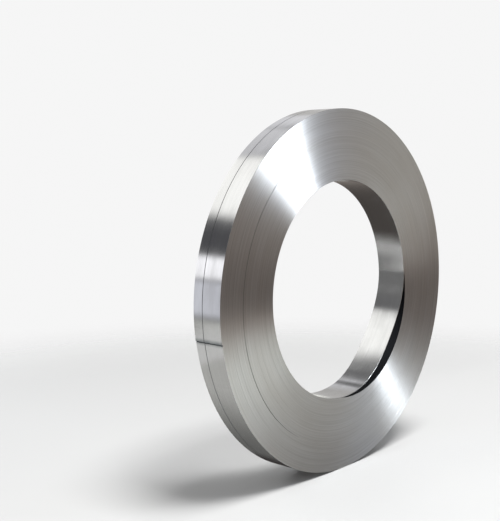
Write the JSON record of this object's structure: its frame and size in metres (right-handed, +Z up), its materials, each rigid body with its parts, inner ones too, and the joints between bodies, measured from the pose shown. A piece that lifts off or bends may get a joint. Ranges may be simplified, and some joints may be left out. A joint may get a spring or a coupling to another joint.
{
  "type": "steel strip coil",
  "caption": "Narrow coil of wound bright steel strip on its rim, with a wide round eye, turns that show on both ends and an inner wrap that has sprung loose; raw stock to be unwound.",
  "frame": {"origin": "on the floor under the middle of the rim, halfway along the strip's width", "axes": "+Z up, Y along the coil's axis with the pictured end at -Y, +X to the right as seen from that end"},
  "size_m": [0.8424, 0.0755, 0.8416],
  "materials": {
    "strip_steel": "bright cold-rolled rim and bore, finely ringed ends of slit edges"
  },
  "bodies": {
    "root": {"strip_coil": "strip_steel"}
  },
  "joints": []
}
